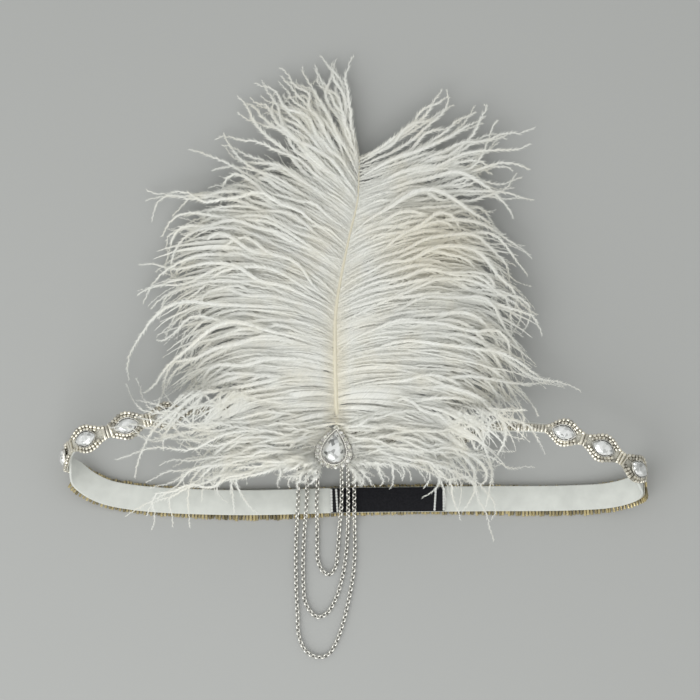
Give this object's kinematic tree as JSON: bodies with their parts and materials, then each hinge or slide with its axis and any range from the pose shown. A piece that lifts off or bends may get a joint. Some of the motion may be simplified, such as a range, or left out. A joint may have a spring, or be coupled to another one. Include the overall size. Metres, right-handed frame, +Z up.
{
  "type": "flapper feather headband",
  "caption": "Beaded satin headband with clear stones, a pear jewel, chain swags and a white ostrich plume, lying on a table.",
  "frame": {"origin": "on the table under the middle of the band's back stretch, which lies flat", "axes": "+Z up from the table, +Y from the band towards the plume's tip, +X to the right as seen from above with the plume away from the viewer"},
  "size_m": [0.2783, 0.2906, 0.0375],
  "materials": {
    "satin": "white satin ribbon",
    "label": "black woven tape",
    "beads": "silver-lined and champagne glass beads",
    "crystal": "clear foil-backed cut glass",
    "silver": "silver plated",
    "quill": "cream feather shaft",
    "down": "soft white ostrich barbs"
  },
  "bodies": {
    "root": {"ribbon": "satin", "label": "label", "trim_front": "beads", "trim_back": "beads", "marquise_01": "crystal", "marquise_02": "crystal", "marquise_03": "crystal", "marquise_04": "crystal", "marquise_05": "crystal", "marquise_06": "crystal", "marquise_07": "crystal", "marquise_08": "crystal", "marquise_09": "crystal", "marquise_10": "crystal", "marquise_11": "crystal", "marquise_12": "crystal", "jewel_setting": "silver", "pear_stone": "crystal", "shaft": "quill", "vane_left": "down", "vane_right": "down", "vane_left_low": "down", "vane_right_low": "down", "chain_inner": "silver", "chain_middle": "silver", "chain_outer": "silver"}
  },
  "joints": []
}
